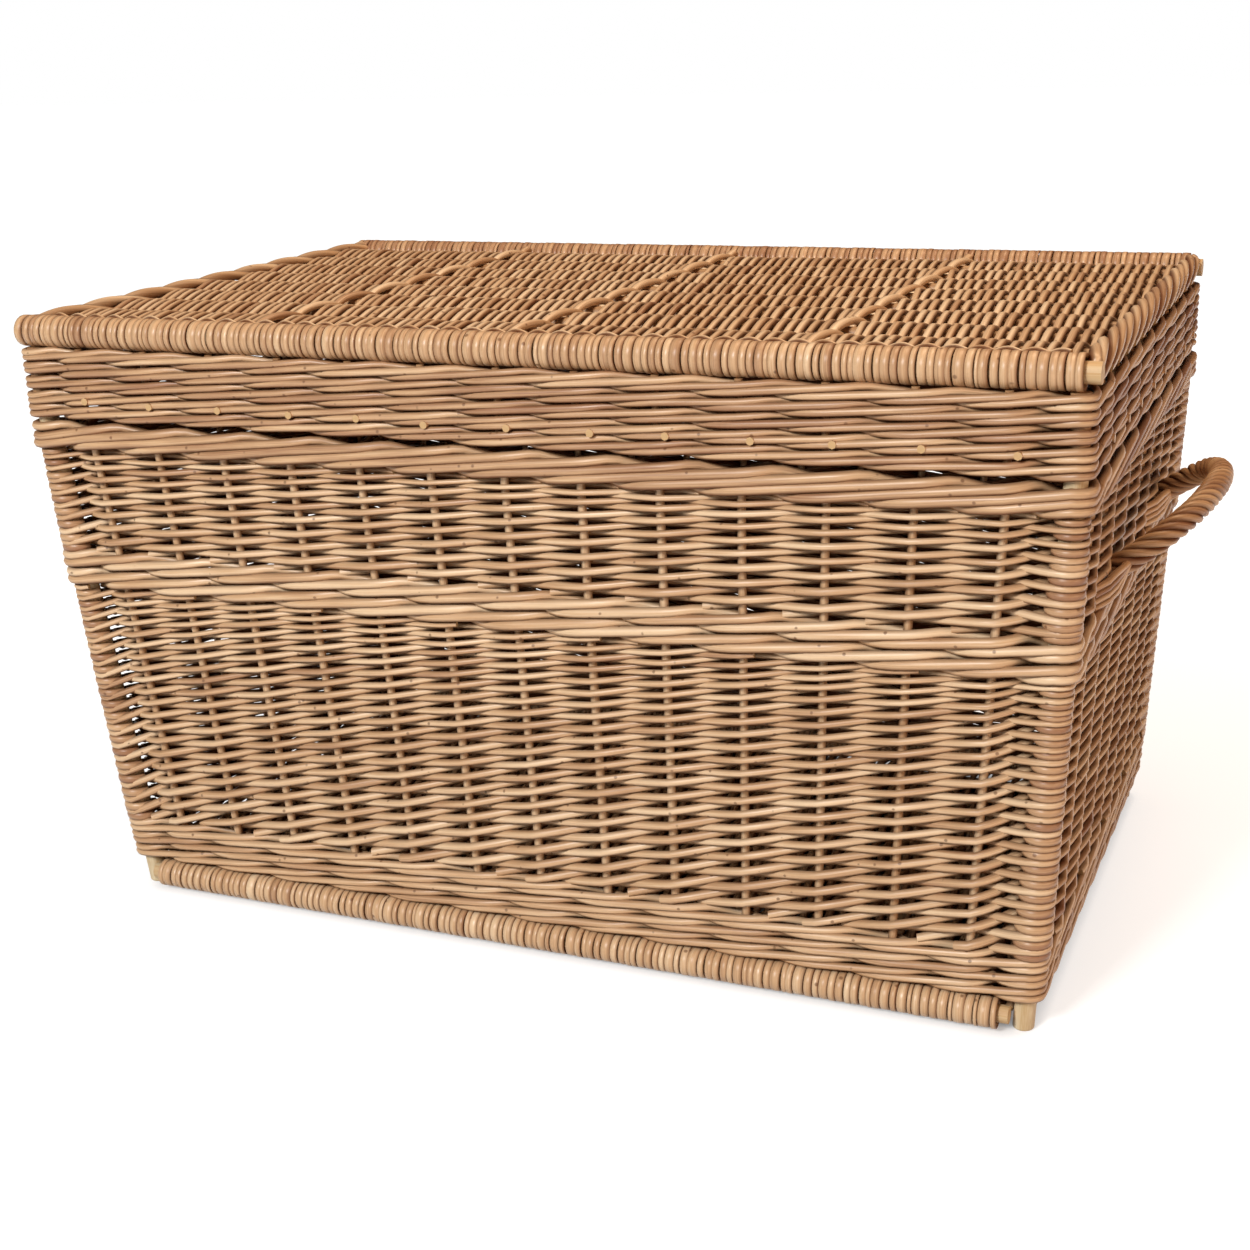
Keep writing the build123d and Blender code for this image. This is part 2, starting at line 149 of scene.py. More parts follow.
def rod_piece(name, rods, material, body, nodes, sides=8, seed=1):
    """One piece made of many rods, each a closed tube with its own bake strip, grain and shade."""
    chance = np.random.default_rng(seed)
    turn = np.linspace(0.0, 2.0 * np.pi, sides, endpoint=False)
    verts, grains, tones, painted_shades, loops, counts, cuts, strips = [], [], [], [], [], [], [], []
    first = 0
    ring = np.arange(sides)
    for points, radius, up, tone, flat, painted_shade_depth, inside in rods:
        n = len(points)
        radius = np.broadcast_to(radius, n)
        along = np.gradient(points, axis=0)
        along /= np.linalg.norm(along, axis=1)[:, None]
        up = np.broadcast_to(up, (n, 3))
        side = up - (up * along).sum(1)[:, None] * along
        side /= np.linalg.norm(side, axis=1)[:, None]
        out = np.cross(along, side)
        # The flatter a rod is pressed, the squarer its section
        wide = np.sign(np.cos(turn)) * np.abs(np.cos(turn)) ** flat
        deep = np.sign(np.sin(turn)) * np.abs(np.sin(turn)) ** flat * flat
        reach = wide[None, :, None] * side[:, None] + deep[None, :, None] * out[:, None]
        verts.append((points[:, None] + radius[:, None, None] * reach).reshape(-1, 3))
        run = np.r_[0.0, np.cumsum(np.linalg.norm(np.diff(points, axis=0), axis=1))]
        start = chance.uniform(0, 5000)
        place = np.empty((n, sides, 3))
        place[:, :, 0] = run[:, None] + start
        place[:, :, 1] = radius[:, None] * np.cos(turn) + start % 97
        place[:, :, 2] = radius[:, None] * np.sin(turn) + start % 61
        grains.append(place.reshape(-1, 3))
        tones.append(np.full(n * sides, tone))
        # Painted shade: full on the rod's underside, 0.6 of it on its top side, and on its side turned into
        # the weave
        below = painted_shade_depth * np.maximum(-np.cos(turn), 0.6 * np.cos(turn))
        painted_shades.append(np.tile(np.maximum(below, -inside * np.sin(turn)), n))
        row = first + sides * np.arange(n - 1)[:, None]
        quads = np.stack([row + ring, row + (ring + 1) % sides, row + sides + (ring + 1) % sides,
                          row + sides + ring], -1).reshape(-1, 4)
        loops += [quads.ravel(), first + ring[::-1], first + sides * (n - 1) + ring]
        counts += [np.full(len(quads), 4), [sides], [sides]]
        cuts += [np.zeros(len(quads)), [1.0], [1.0]]
        strips.append((run, float(radius.mean())))
        first += n * sides
    # Bake map: each tube unrolled as a strip, the strips laid end to end in rows of one width
    height = 2.2 * np.pi * max(r for _, r in strips)
    width = math.sqrt(height * sum(run[-1] + 4 * r + 3 for run, r in strips)) * 1.04 + 25
    places, pen, row = [], 0.0, 0
    for run, r in strips:
        wide = 2 * np.pi * r
        for k in range(len(run) - 1):
            length = run[k + 1] - run[k]
            if pen + length > width - 2 * r:
                pen, row = 0.0, row + 1
            low = row * height
            lines = low + wide * np.arange(sides + 1) / sides
            spot = np.empty((sides, 4, 2))
            spot[:, 0] = np.stack([np.full(sides, pen), lines[:-1]], -1)
            spot[:, 1] = np.stack([np.full(sides, pen), lines[1:]], -1)
            spot[:, 2] = np.stack([np.full(sides, pen + length), lines[1:]], -1)
            spot[:, 3] = np.stack([np.full(sides, pen + length), lines[:-1]], -1)
            places.append(spot.reshape(-1, 2))
            pen += length
        for end in (-1, 1):
            if pen + 2.5 * r > width:
                pen, row = 0.0, row + 1
            disc = np.stack([np.cos(turn), end * np.sin(turn)], -1)[::end] * r * 0.9
            places.append(disc + (pen + 1.2 * r, row * height + 1.2 * r))
            pen += 2.4 * r
        pen += 1.0
    atlas = np.concatenate(places) / max(width, (row + 1) * height)
    counts = np.concatenate(counts)
    mesh = bpy.data.meshes.new(name)
    mesh.vertices.add(first)
    mesh.vertices.foreach_set("co", (np.concatenate(verts) * 0.001).ravel())
    mesh.loops.add(len(atlas))
    mesh.loops.foreach_set("vertex_index", np.concatenate(loops))
    mesh.polygons.add(len(counts))
    mesh.polygons.foreach_set("loop_start", np.r_[0, np.cumsum(counts)[:-1]])
    mesh.update(calc_edges=True)
    mesh.uv_layers.new(name="OFBake").uv.foreach_set("vector", atlas.ravel())
    mesh.attributes.new("rod_grain", "FLOAT_VECTOR", "POINT").data.foreach_set(
        "vector", np.concatenate(grains).ravel())
    mesh.attributes.new("rod_tone", "FLOAT", "POINT").data.foreach_set("value", np.concatenate(tones))
    mesh.attributes.new("rod_painted_shade", "FLOAT", "POINT").data.foreach_set("value", np.concatenate(painted_shades))
    mesh.attributes.new("cut_end", "FLOAT", "FACE").data.foreach_set("value", np.concatenate(cuts))
    mesh.polygons.foreach_set("use_smooth", np.ones(len(counts), bool))
    mesh.set_sharp_from_angle(angle=math.radians(75))
    mesh.materials.append(material)
    piece = bpy.data.objects.new(name, mesh)
    bpy.context.scene.collection.objects.link(piece)
    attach(piece, body)
    if nodes:
        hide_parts(*nodes)
    return piece


def flat_weavers(chance, x_low, x_high, pitch, width, middle, half, sticks, stick_radius, flat,
                 shade=0.0, pairs=()):
    """Rods from front to back over and under sticks along X. Where a pair of other rods is twisted in,
    they are left out, and the rods beside it give way between the sticks."""
    rods = []
    left_out = 1.6 * pitch
    give_way = 3.6 * pitch
    count = int((x_high - x_low) / pitch)
    lines = [-half, *sticks, half]
    for i in range(count):
        x = x_low + (x_high - x_low) * (i + 0.5) / count
        aside = [x - place for place in pairs if abs(x - place) < give_way]
        if aside and abs(aside[0]) < left_out:
            continue
        r = width / 2 * chance.uniform(0.9, 1.08)
        heights = [(1 if (i + k) % 2 else -1) * (stick_radius + flat * r) * chance.uniform(0.92, 1.04)
                   for k in range(len(sticks))]
        heights = [0, *heights, 0]
        path = []
        for k in range(len(lines) - 1):
            t = np.linspace(0, 1, 7)[0 if k == 0 else 1:]
            ease = 0.4 * t + 0.6 * (1 - np.cos(np.pi * t)) / 2
            path.append(np.stack([lines[k] + (lines[k + 1] - lines[k]) * t,
                                  heights[k] + (heights[k + 1] - heights[k]) * ease], -1))
        run = np.concatenate(path)
        drift = np.interp(run[:, 0], np.linspace(-half, half, 7), chance.normal(0, 0.6, 7))
        if aside:
            between = np.abs(np.sin(np.pi * (run[:, 0] - sticks[0]) / (sticks[1] - sticks[0])))
            drift += np.sign(aside[0]) * between * (give_way - abs(aside[0])) / 3
        points = np.stack([x + drift, run[:, 0], middle + run[:, 1]], -1)
        rods.append(rod(points, r, (-1, 0, 0), shade + chance.normal(0, 0.1), flat, 0.85, 0.8))
    return rods


def bound_roll(chance, x_low, x_high, pitch, y, middle, roll_radius, flat, shade=0.0):
    """Turns of flattened rod, side by side round an edge stick along X."""
    turns = []
    count = int(round((x_high - x_low) / pitch))
    edges = np.linspace(x_low, x_high, count + 1)
    edges[1:-1] += chance.uniform(-0.3, 0.3, count - 1) * pitch
    bend = np.linspace(0.02, 2 * np.pi - 0.02, 21)
    for low, high in zip(edges[:-1], edges[1:]):
        r = (high - low) / 2
        reach = roll_radius * chance.uniform(0.96, 1.0) - flat * r
        lean = chance.normal(0, 0.35)
        points = np.stack([(low + high) / 2 + lean * np.sin(bend), y + reach * np.sin(bend),
                           middle - reach * np.cos(bend)], -1)
        tone = shade + chance.normal(0, 0.06)
        turns.append(rod(points, r, (-1, 0, 0), tone, flat, chance.uniform(0.6, 0.95)))
    return turns


buff = rod_willow("buff_willow", "E9C9A2", "D0A87E", "9E7150", 0.3)
floor_low, floor_high = box_mm("base_weave")
floor_edge_low, floor_edge_high = box_mm("base_edge_stick_front")
floor_middle = (floor_low[2] + floor_high[2]) / 2
floor_roll_radius = (floor_high[2] - floor_low[2]) / 2
floor_edge_y = -(floor_edge_low[1] + floor_edge_high[1]) / 2
floor_sticks = floor_edge_y * (2 * np.arange(1, 8) / 8 - 1)
floor_stick_radius = 5.0
floor_flat = 0.7
# The floor's rods are painted darker all over: painted shade for the inside of the hamper
floor_painted_shade = 0.2
chance = np.random.default_rng(11)
floor_rods = flat_weavers(chance, floor_edge_low[0], floor_edge_high[0], 4.4, 5.6, floor_middle,
                          floor_edge_y - floor_roll_radius + 2, floor_sticks, floor_stick_radius,
                          floor_flat, floor_painted_shade)
# Beside the feet the last rods stop short of the posts
floor_end_y = 188.0
for low, high in ((floor_low[0], floor_edge_low[0]), (floor_edge_high[0], floor_high[0])):
    floor_rods += flat_weavers(chance, low, high, 4.3, 5.0, floor_middle, floor_end_y, floor_sticks,
                               floor_stick_radius, floor_flat, floor_painted_shade)
# A rod along each end fills the joint between the floor and the wale above it
end_rod_radius = 3.6
end_rod_inset = 2.5
end_rod_z = floor_middle + 7.3
for x in (floor_low[0] + end_rod_inset, floor_high[0] - end_rod_inset):
    end_line = [(x, y, end_rod_z) for y in np.linspace(-floor_end_y, floor_end_y, 12)]
    floor_rods.append(rod(end_line, end_rod_radius, (0, 0, 1), floor_painted_shade))
rod_piece("woven_floor", floor_rods, buff, "hamper", ["base_weave"], seed=11)
# The front roll stops short of the feet, so that its stick's ends show
floor_roll_pitch = 5.4
floor_roll_flat = 0.45
roll_turns = []
for side, short in ((-1, 7.0), (1, 0.0)):
    roll_turns += bound_roll(chance, floor_edge_low[0] + short, floor_edge_high[0] - short,
                             floor_roll_pitch, side * floor_edge_y, floor_middle, floor_roll_radius,
                             floor_roll_flat)
rod_piece("floor_edge_rolls", roll_turns, buff, "hamper", [], seed=10)

# Floor sticks: straight peeled willow sticks laid side to side through the floor's weave, thick ones
# at its front and rear edges. Their sawn ends show pale beside the feet.


def peeled_wood(name, light, deep, axis, rough):
    """Peeled willow wood on a CAD solid: long grain along one axis, with a few faint facets."""
    material, tree, shader = blank_material(name)
    place = add(tree, "ShaderNodeTexCoord").outputs["Object"]
    # Grain lines 0.9 mm apart and 90 mm long
    scale = [1 / 0.0009] * 3
    scale[axis] = 1 / 0.09
    fine = add(tree, "ShaderNodeVectorMath", {0: place, 1: scale}, operation="MULTIPLY")
    grain = add(tree, "ShaderNodeTexNoise", {"Vector": fine.outputs[0], "Scale": 1.0, "Detail": 3.0})
    # Drifts of shade 6 mm wide and 120 mm long
    wide = [1 / 0.006] * 3
    wide[axis] = 1 / 0.12
    slow = add(tree, "ShaderNodeVectorMath", {0: place, 1: wide}, operation="MULTIPLY")
    drift = add(tree, "ShaderNodeTexNoise", {"Vector": slow.outputs[0], "Scale": 1.0, "Detail": 2.0})
    shade = add(tree, "ShaderNodeMath", {0: grain.outputs["Fac"], 1: 0.5, 2: drift.outputs["Fac"]},
                operation="MULTIPLY_ADD")
    ramp = add(tree, "ShaderNodeValToRGB", {"Fac": shade.outputs[0]})
    ramp.color_ramp.elements[0].position = 0.45
    ramp.color_ramp.elements[0].color = linear(light)
    ramp.color_ramp.elements[1].position = 1.0
    ramp.color_ramp.elements[1].color = linear(deep)
    tree.links.new(ramp.outputs["Color"], shader.inputs["Base Color"])
    shader.inputs["Roughness"].default_value = rough
    bump = add(tree, "ShaderNodeBump", {"Strength": 0.3, "Distance": 0.0003,
                                        "Height": grain.outputs["Fac"]})
    tree.links.new(bump.outputs["Normal"], shader.inputs["Normal"])
    return material


def dress(node, material):
    """Gives a CAD node that stays shown its material."""
    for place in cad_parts[node].material_slots:
        place.material = material


stick_wood = peeled_wood("peeled_willow_sticks", "E3CDA5", "C39A66", 0, 0.55)
buff_wood = peeled_wood("buff_willow_sticks", "C29A6E", "8F633E", 0, 0.5)
dress("base_inner_sticks", buff_wood)
for node in ("base_edge_stick_front", "base_edge_stick_rear"):
    dress(node, stick_wood)

# Corner posts: four peeled willow poles that lean with the walls and stand out below as the feet.
# Bare cream wood with grain along the pole, cut square at the foot.
post_wood = peeled_wood("peeled_willow_posts", "EBDBB8", "C9A878", 2, 0.5)
corners = [(front, side) for front in ("front", "rear") for side in ("left", "right")]
for front, side in corners:
    dress(f"corner_post_{front}_{side}", post_wood)

# Stakes: upright willow rods stuck into the floor, 13 in each long wall and 8 in each end.
# They lean with the walls, taper a little and end inside the top border.
rim_high = box_mm("top_border_right")[1]
foot_high = box_mm("bottom_wale_right")[1]
rim_front = -box_mm("top_border_front")[0][1]
foot_front = -box_mm("bottom_wale_front")[0][1]
post_radius = 7.0
post_inset = 13.75
stake_inset = 9.5
stake_radius = 3.0
front_stakes = 13
end_stakes = 8
stake_end_gap = 38.0


def half_length(z):
    return rim_high[0] + (z - rim_high[2]) * (rim_high[0] - foot_high[0]) / (rim_high[2] - foot_high[2])


def half_depth(z):
    return rim_front + (z - rim_high[2]) * (rim_front - foot_front) / (rim_high[2] - foot_high[2])


def stake_places(count, half):
    """Evenly spaced places between two posts, the end ones close to the posts."""
    return np.linspace(stake_end_gap - half, half - stake_end_gap, count)


def ring_of(px, py, sx, sy, along, across):
    """Posts and stakes in order round the hamper from the rear left post: place, outward angle and
    whether it is a post."""
    ring = [((-px, py), 135.0, True)]
    ring += [((-sx, y), 180.0, False) for y in across[::-1]]
    ring += [((-px, -py), 225.0, True)]
    ring += [((x, -sy), 270.0, False) for x in along]
    ring += [((px, -py), 315.0, True)]
    ring += [((sx, y), 360.0, False) for y in across]
    ring += [((px, py), 405.0, True)]
    ring += [((x, sy), 450.0, False) for x in along[::-1]]
    return ring


def uprights(z):
    px, py = half_length(z) - post_inset, half_depth(z) - post_inset
    return ring_of(px, py, half_length(z) - stake_inset, half_depth(z) - stake_inset,
                   stake_places(front_stakes, px), stake_places(end_stakes, py))


chance = np.random.default_rng(12)
stake_top = rim_high[2] - 8.0
stake_heights = np.linspace(floor_middle + 6, stake_top, 14)
stake_rods = {"left": [], "front": [], "right": [], "rear": []}
walls = {"left": range(1, 9), "front": range(10, 23), "right": range(24, 32), "rear": range(33, 46)}
for wall, indices in walls.items():
    for m in indices:
        line = np.array([(*uprights(z)[m][0], z) for z in stake_heights])
        radii = stake_radius * np.linspace(1.03, 0.95, len(line)) * chance.uniform(0.95, 1.05)
        tone = chance.normal(-0.05, 0.08)
        stake_rods[wall].append(rod(line, radii, (1, 0.3, 0), tone, 1.0, 0.7))
    rod_piece(f"willow_stakes_{wall}", stake_rods[wall], buff, "hamper",
              [f"stakes_{wall}"], seed=12)

# Bottom wale: three rounds of thicker willow rods, three at a time, each before two stakes and behind
# the next. It locks the stakes on the floor's edge and runs on round the posts.


def woven_path(controls, steps, sharp):
    """A smooth run past uprights. Each control: base place, outward angle, offset from it, its number.
    Gives plan points, and as the third value how far along the count of uprights each one is. A sharp
    run goes straight from one side to the other, a soft one (0) lies along each upright first."""
    path = []
    for k in range(len(controls) - 1):
        (base_a, turn_a, off_a, m_a), (base_b, turn_b, off_b, m_b) = controls[k], controls[k + 1]
        t = np.linspace(0, 1, steps + 1)
        if turn_a != turn_b and base_a == base_b:
            t = np.linspace(0, 1, 5)
        if k == 0:
            t = t[t >= 0.499]
        elif k == len(controls) - 2:
            t = t[t <= 0.501]
        if k > 0:
            t = t[1:]
        ease = sharp * t + (1 - sharp) * (1 - np.cos(np.pi * t)) / 2
        turn = np.radians(turn_a + (turn_b - turn_a) * t)
        off = off_a + (off_b - off_a) * ease
        x = base_a[0] + (base_b[0] - base_a[0]) * t + off * np.cos(turn)
        y = base_a[1] + (base_b[1] - base_a[1]) * t + off * np.sin(turn)
        path.append(np.stack([x, y, m_a + (m_b - m_a) * t], -1))
    return np.concatenate(path)


def pass_upright(spot, side, radius, m, thick, post_thick):
    """Controls for one upright: outside a post a rod bends round it, elsewhere it just passes."""
    base, turn, is_post = spot
    if not is_post:
        return [(base, turn, side * (thick + radius), m)]
    if side > 0:
        return [(base, turn - 45, post_thick + radius, m), (base, turn, post_thick + radius, m),
                (base, turn + 45, post_thick + radius, m)]
    return [(base, turn, -(post_thick + radius), m)]


spans = {"left": range(0, 10), "front": range(8, 25), "right": range(23, 33), "rear": range(31, 48)}


def wall_run(wall, ring, sides, radius, steps=6, thick=stake_radius, post_thick=post_radius, sharp=0.0):
    """One rod along one wall. The long walls carry the corners and end half way to the end walls'
    first stakes."""
    controls = []
    for m in spans[wall]:
        base, turn, is_post = ring[m % len(ring)]
        spot = (base, turn + 360.0 * (m // len(ring)), is_post)
        passes = pass_upright(spot, sides[m], radius, m, thick, post_thick)
        if m == spans[wall][0]:
            passes = passes[-1:]
        if m == spans[wall][-1]:
            passes = passes[:1]
        controls += passes
    return woven_path(controls, steps, sharp)


def wale(chance, low, high, rounds, strands, ring_at=uprights, shift=0, thick=stake_radius,
         post_thick=post_radius, slack=0.25, shade=0.0):
    """Rounds of a wale: each strand lies outside all uprights but one in its turn, rising as it goes."""
    rods = {wall: [] for wall in spans}
    tall = (high - low) / rounds
    radius = tall / (strands - 1) / 2
    # Share of a stake's room in which a strand goes in behind it, and how high it climbs before that
    dive = 0.55
    top = 0.8 * (strands - 1) * radius
    for level in range(rounds):
        middle = low + tall * (level + 0.5)
        ring = ring_at(middle)
        for strand in range(strands):
            begin = strand + shift + level
            sides = [-1 if (m + begin) % strands == 0 else 1 for m in range(48)]
            wander = chance.normal(0, slack, 48)
            size = radius * chance.uniform(0.99, 1.07)
            for wall in spans:
                path = wall_run(wall, ring, sides, size, 8, thick, post_thick)
                count = path[:, 2].copy()
                rise = np.interp((count + begin) % strands, [0, dive, strands - dive, strands],
                                 [0, -top, top, 0])
                path[:, 2] = middle + rise + np.interp(count, range(48), wander)
                tone = shade + chance.normal(0, 0.1)
                swell = 1 + 0.05 * np.sin(np.linspace(0, 9, len(path)) + chance.uniform(0, 6))
                rods[wall].append(rod(path, size * swell, (0, 0, 1), tone, 1.0, 1.0, 1.0))
    return rods


bottom_low, bottom_high = box_mm("bottom_wale_front")[0][2], box_mm("bottom_wale_front")[1][2]
bottom_rods = wale(np.random.default_rng(13), bottom_low + 0.4, bottom_high, 3, 3)
for wall in spans:
    rod_piece(f"bottom_waling_{wall}", bottom_rods[wall], buff, "hamper",
              [f"bottom_wale_{wall}"], seed=13)

# Lower panels: French randing in thin willow rods, one begun at each stake, all worked round together.
# A rod goes over one stake, under the next and climbs two rows at each. The last rows are thin tips.
# The rear and left panels are beaten down closer.
post_dip = 4.6
post_lift = 1.8
panel_edge = 15.0
wrap_half_turn = 125.0
panel_fullness = {"front": 1.0, "right": 0.92, "left": 1.25, "rear": 1.6}


def randing(chance, low, high, first_row, climb, diameter, grade, thin_rows):
    """Rods that climb round the hamper, and the extra turns round posts that a row passes inside.
    Rows get finer upwards by the grade, and the last ones are thin, three in the room of two.
    Rods dip outside a post and lift inside it."""
    rods = {wall: [] for wall in spans}
    wraps = {m: [] for m in (0, 9, 23, 32)}
    rows = int((high - low) / diameter)
    weight = np.r_[np.linspace(1 + grade, 1 - grade, rows - thin_rows),
                   np.full(thin_rows * 3 // 2, 2 / 3)]
    edges = low + (high - low) * np.r_[0, np.cumsum(weight)] / weight.sum()
    middles = (edges[:-1] + edges[1:]) / 2
    halves = 0.5 * np.diff(edges) * np.where(weight < 0.7, 1.24, 1.08)
    levels = np.arange(len(weight))

    def row_height(level):
        below = np.minimum(level, 0) * (edges[1] - edges[0])
        above = np.maximum(level - levels[-1], 0) * (edges[-1] - edges[-2])
        return np.interp(level, levels, middles) + below + above

    def slack(z, m, side, is_post):
        """How far a rod lies off its row: slow waves along the wall, and the dip at a post."""
        wave = 0.8 * math.sin(0.55 * m + z / 31) + 0.5 * math.sin(1.7 * m - z / 17)
        drop = (post_dip if side > 0 else -post_lift) if is_post else 0.0
        return min(1.0, max(0.0, (z - low) / panel_edge), max(0.0, (high - z) / panel_edge)) * (wave - drop)

    posts = [spot[2] for spot in uprights(low)]
    for wall, span in spans.items():
        full = panel_fullness[wall]
        for r in range(-climb * span[-1], len(levels) - climb * span[0]):
            sides = [1 if (m + r + first_row) % 2 == 0 else -1 for m in range(48)]
            heights = row_height(r + climb * np.arange(48.0))
            heights += [slack(heights[m], m, sides[m], posts[m % 46]) + chance.normal(0, 0.22)
                        for m in range(48)]
            ring = [uprights(heights[m + 46 if m + 46 in span else m])[m] for m in range(46)]
            passed = np.clip(r + climb * np.array(span), 0, levels[-1])
            path = wall_run(wall, ring, sides, np.interp(passed, levels, halves).mean(), sharp=0.6)
            level = r + climb * path[:, 2]
            path[:, 2] = np.interp(path[:, 2], range(48), heights)
            radius = np.interp(level, levels, halves) * chance.uniform(0.95, 1.05) * full
            radius *= 1 + 0.06 * np.sin(np.linspace(0, 7, len(path)) + chance.uniform(0, 6))
            shown = (level > -0.6) & (level < levels[-1] + 0.6)
            tone = chance.normal(0, 0.1)
            if shown.sum() > 3:
                rods[wall].append(rod(path[shown], radius[shown], (0, 0, 1), tone, 1 / full, 1.0, 1.0))
    for m in wraps:
        for j in levels:
            if (j - climb * m + m + first_row) % 2 == 1:
                base, turn, _ = uprights(middles[j])[m]
                reach = post_radius + halves[j]
                bend = np.radians(turn + np.linspace(-wrap_half_turn, wrap_half_turn, 15))
                z = middles[j] + slack(middles[j], m, 1, True) + chance.normal(0, 0.2)
                path = np.stack([base[0] + reach * np.cos(bend), base[1] + reach * np.sin(bend),
                                 np.full(15, z)], -1)
                tone = chance.normal(0.26, 0.1)
                wraps[m].append(rod(path, halves[j] * 1.1, (0, 0, 1), tone, 0.75, 0.85))
    return rods, wraps


lower_low, lower_high = box_mm("lower_weave_front")[0][2], box_mm("lower_weave_front")[1][2]
lower_rods, lower_wraps = randing(np.random.default_rng(14), lower_low, lower_high, first_row=0, climb=2,
                                  diameter=4.9, grade=0.18, thin_rows=4)
for wall in spans:
    rod_piece(f"lower_randing_{wall}", lower_rods[wall], buff, "hamper",
              [f"lower_weave_{wall}"], seed=14)

# Middle wale: two rounds of thicker willow rods, three at a time as in the bottom wale.
# It parts the panels, ties the stakes and runs on round the posts.
middle_low, middle_high = box_mm("middle_wale_front")[0][2], box_mm("middle_wale_front")[1][2]
middle_rods = wale(np.random.default_rng(15), middle_low, middle_high, 2, 3, shift=1)
for wall in spans:
    rod_piece(f"middle_waling_{wall}", middle_rods[wall], buff, "hamper",
              [f"middle_wale_{wall}"], seed=15)

# Upper panels: the same randing on the middle wale, with finer willow rods.
# They climb one row at each stake, so that the strokes stand in line.
upper_low, upper_high = box_mm("upper_weave_front")[0][2], box_mm("upper_weave_front")[1][2]
upper_rods, upper_wraps = randing(np.random.default_rng(16), upper_low, upper_high, first_row=1, climb=1,
                                  diameter=4.5, grade=0.14, thin_rows=2)
for wall in spans:
    rod_piece(f"upper_randing_{wall}", upper_rods[wall], buff, "hamper",
              [f"upper_weave_{wall}"], seed=16)

# Corner turns: each second row of a panel takes a whole turn round the corner post, a little flattened,
# so that the post is covered from wale to wale.
for (front, side), m in zip(corners, (9, 23, 0, 32)):
    rod_piece(f"corner_turns_{front}_{side}", lower_wraps[m] + upper_wraps[m], buff, "hamper",
              [f"corner_wrap_{front}_{side}"], seed=17)

# Top border: four thick willow rods at a time, each laid before three stakes and behind the next.
# It closes the walls, and the lid rests just above it.
border_low, border_high = box_mm("top_border_front")[0][2], box_mm("top_border_front")[1][2]
border_rods = wale(np.random.default_rng(18), border_low, border_high, 1, 4, shift=2, slack=0.35,
                   shade=0.14)
for wall in spans:
    rod_piece(f"laid_border_{wall}", border_rods[wall], buff, "hamper",
              [f"top_border_{wall}"], seed=18)

# Handles: a bow at each end, roped from six willow rods round a thin core, the lay steep like a rope's.
# Its two legs go into the end wall beside stakes, and the rods' tails lie forward over the weave.
handle_high = box_mm("handle_right")[1]
handle_radius = 8.5
rope_strands = 6
strand_radius = 2.85
rope_lay = 56.0
tail_radius = 2.3
tail_count = 4
tail_pitch = 4.2
# A tail's way back along the wall: how far back, out of the wall and up from the leg
tail_way = [(0, 9, 6), (10, 6.5, 2), (24, 4.5, 0), (38, 1.5, -2), (50, -5, -4)]
leg_y = handle_high[1] - handle_radius
anchor_z = upper_low + 11.0
wall_x = half_length(anchor_z) - 2.0
crown_x = handle_high[0] - handle_radius - wall_x
crown_z = handle_high[2] - handle_radius - anchor_z
tilt = math.atan2(crown_z, crown_x)
crown = math.hypot(crown_x, crown_z)
# Half the bow: shares of the legs' half spread and of the crown's reach out of the wall
half_bow = [(1.0, -0.37), (1.0, -0.15), (0.97, 0.2), (0.87, 0.54), (0.66, 0.79), (0.35, 0.95)]
bow = np.array([(-y * leg_y, out * crown) for y, out in half_bow] + [(0, crown)] +
               [(y * leg_y, out * crown) for y, out in half_bow[::-1]])
for _ in range(3):
    corners_cut = np.empty((2 * len(bow) - 2, 2))
    corners_cut[0::2] = 0.75 * bow[:-1] + 0.25 * bow[1:]
    corners_cut[1::2] = 0.25 * bow[:-1] + 0.75 * bow[1:]
    bow = np.concatenate([bow[:1], corners_cut, bow[-1:]])
run = np.r_[0, np.cumsum(np.linalg.norm(np.diff(bow, axis=0), axis=1))]
fine = np.linspace(0, run[-1], 150)
bow_y = np.interp(fine, run, bow[:, 0])
bow_out = np.interp(fine, run, bow[:, 1])
for side, sign in (("right", 1), ("left", -1)):
    chance = np.random.default_rng(19)
    centre = np.stack([sign * (wall_x + bow_out * math.cos(tilt)), bow_y,
                       anchor_z + bow_out * math.sin(tilt)], -1)
    along = np.gradient(centre, axis=0)
    along /= np.linalg.norm(along, axis=1)[:, None]
    normal = np.array([sign * -math.sin(tilt), 0.0, math.cos(tilt)])
    other = np.cross(along, normal)
    rope = [rod(centre, handle_radius - 2 * strand_radius + 1.0, normal, 0.3)]
    for k in range(rope_strands):
        turn = 2 * np.pi * (fine / rope_lay + k / rope_strands)
        arm = np.cos(turn)[:, None] * normal + np.sin(turn)[:, None] * other
        line = centre + (handle_radius - strand_radius) * arm
        rope.append(rod(line, strand_radius * chance.uniform(0.95, 1.06), np.cross(along, arm),
                        chance.normal(0.16, 0.12)))
    for leg in (-leg_y, leg_y):
        for k in range(tail_count):
            fan = tail_pitch * (k - 1.5) - 2
            line = np.array([(sign * (wall_x + out), leg - back, anchor_z + lift + fan * min(1, back / 20))
                             for back, out, lift in tail_way])
            smooth = np.stack([np.interp(np.linspace(0, 4, 17), range(5), line[:, axis])
                               for axis in range(3)], -1)
            rope.append(rod(smooth, tail_radius, (0, 0, 1), chance.normal(0.05, 0.1)))
    rod_piece(f"roped_handle_{side}", rope, buff, "hamper", [f"handle_{side}"], seed=19)

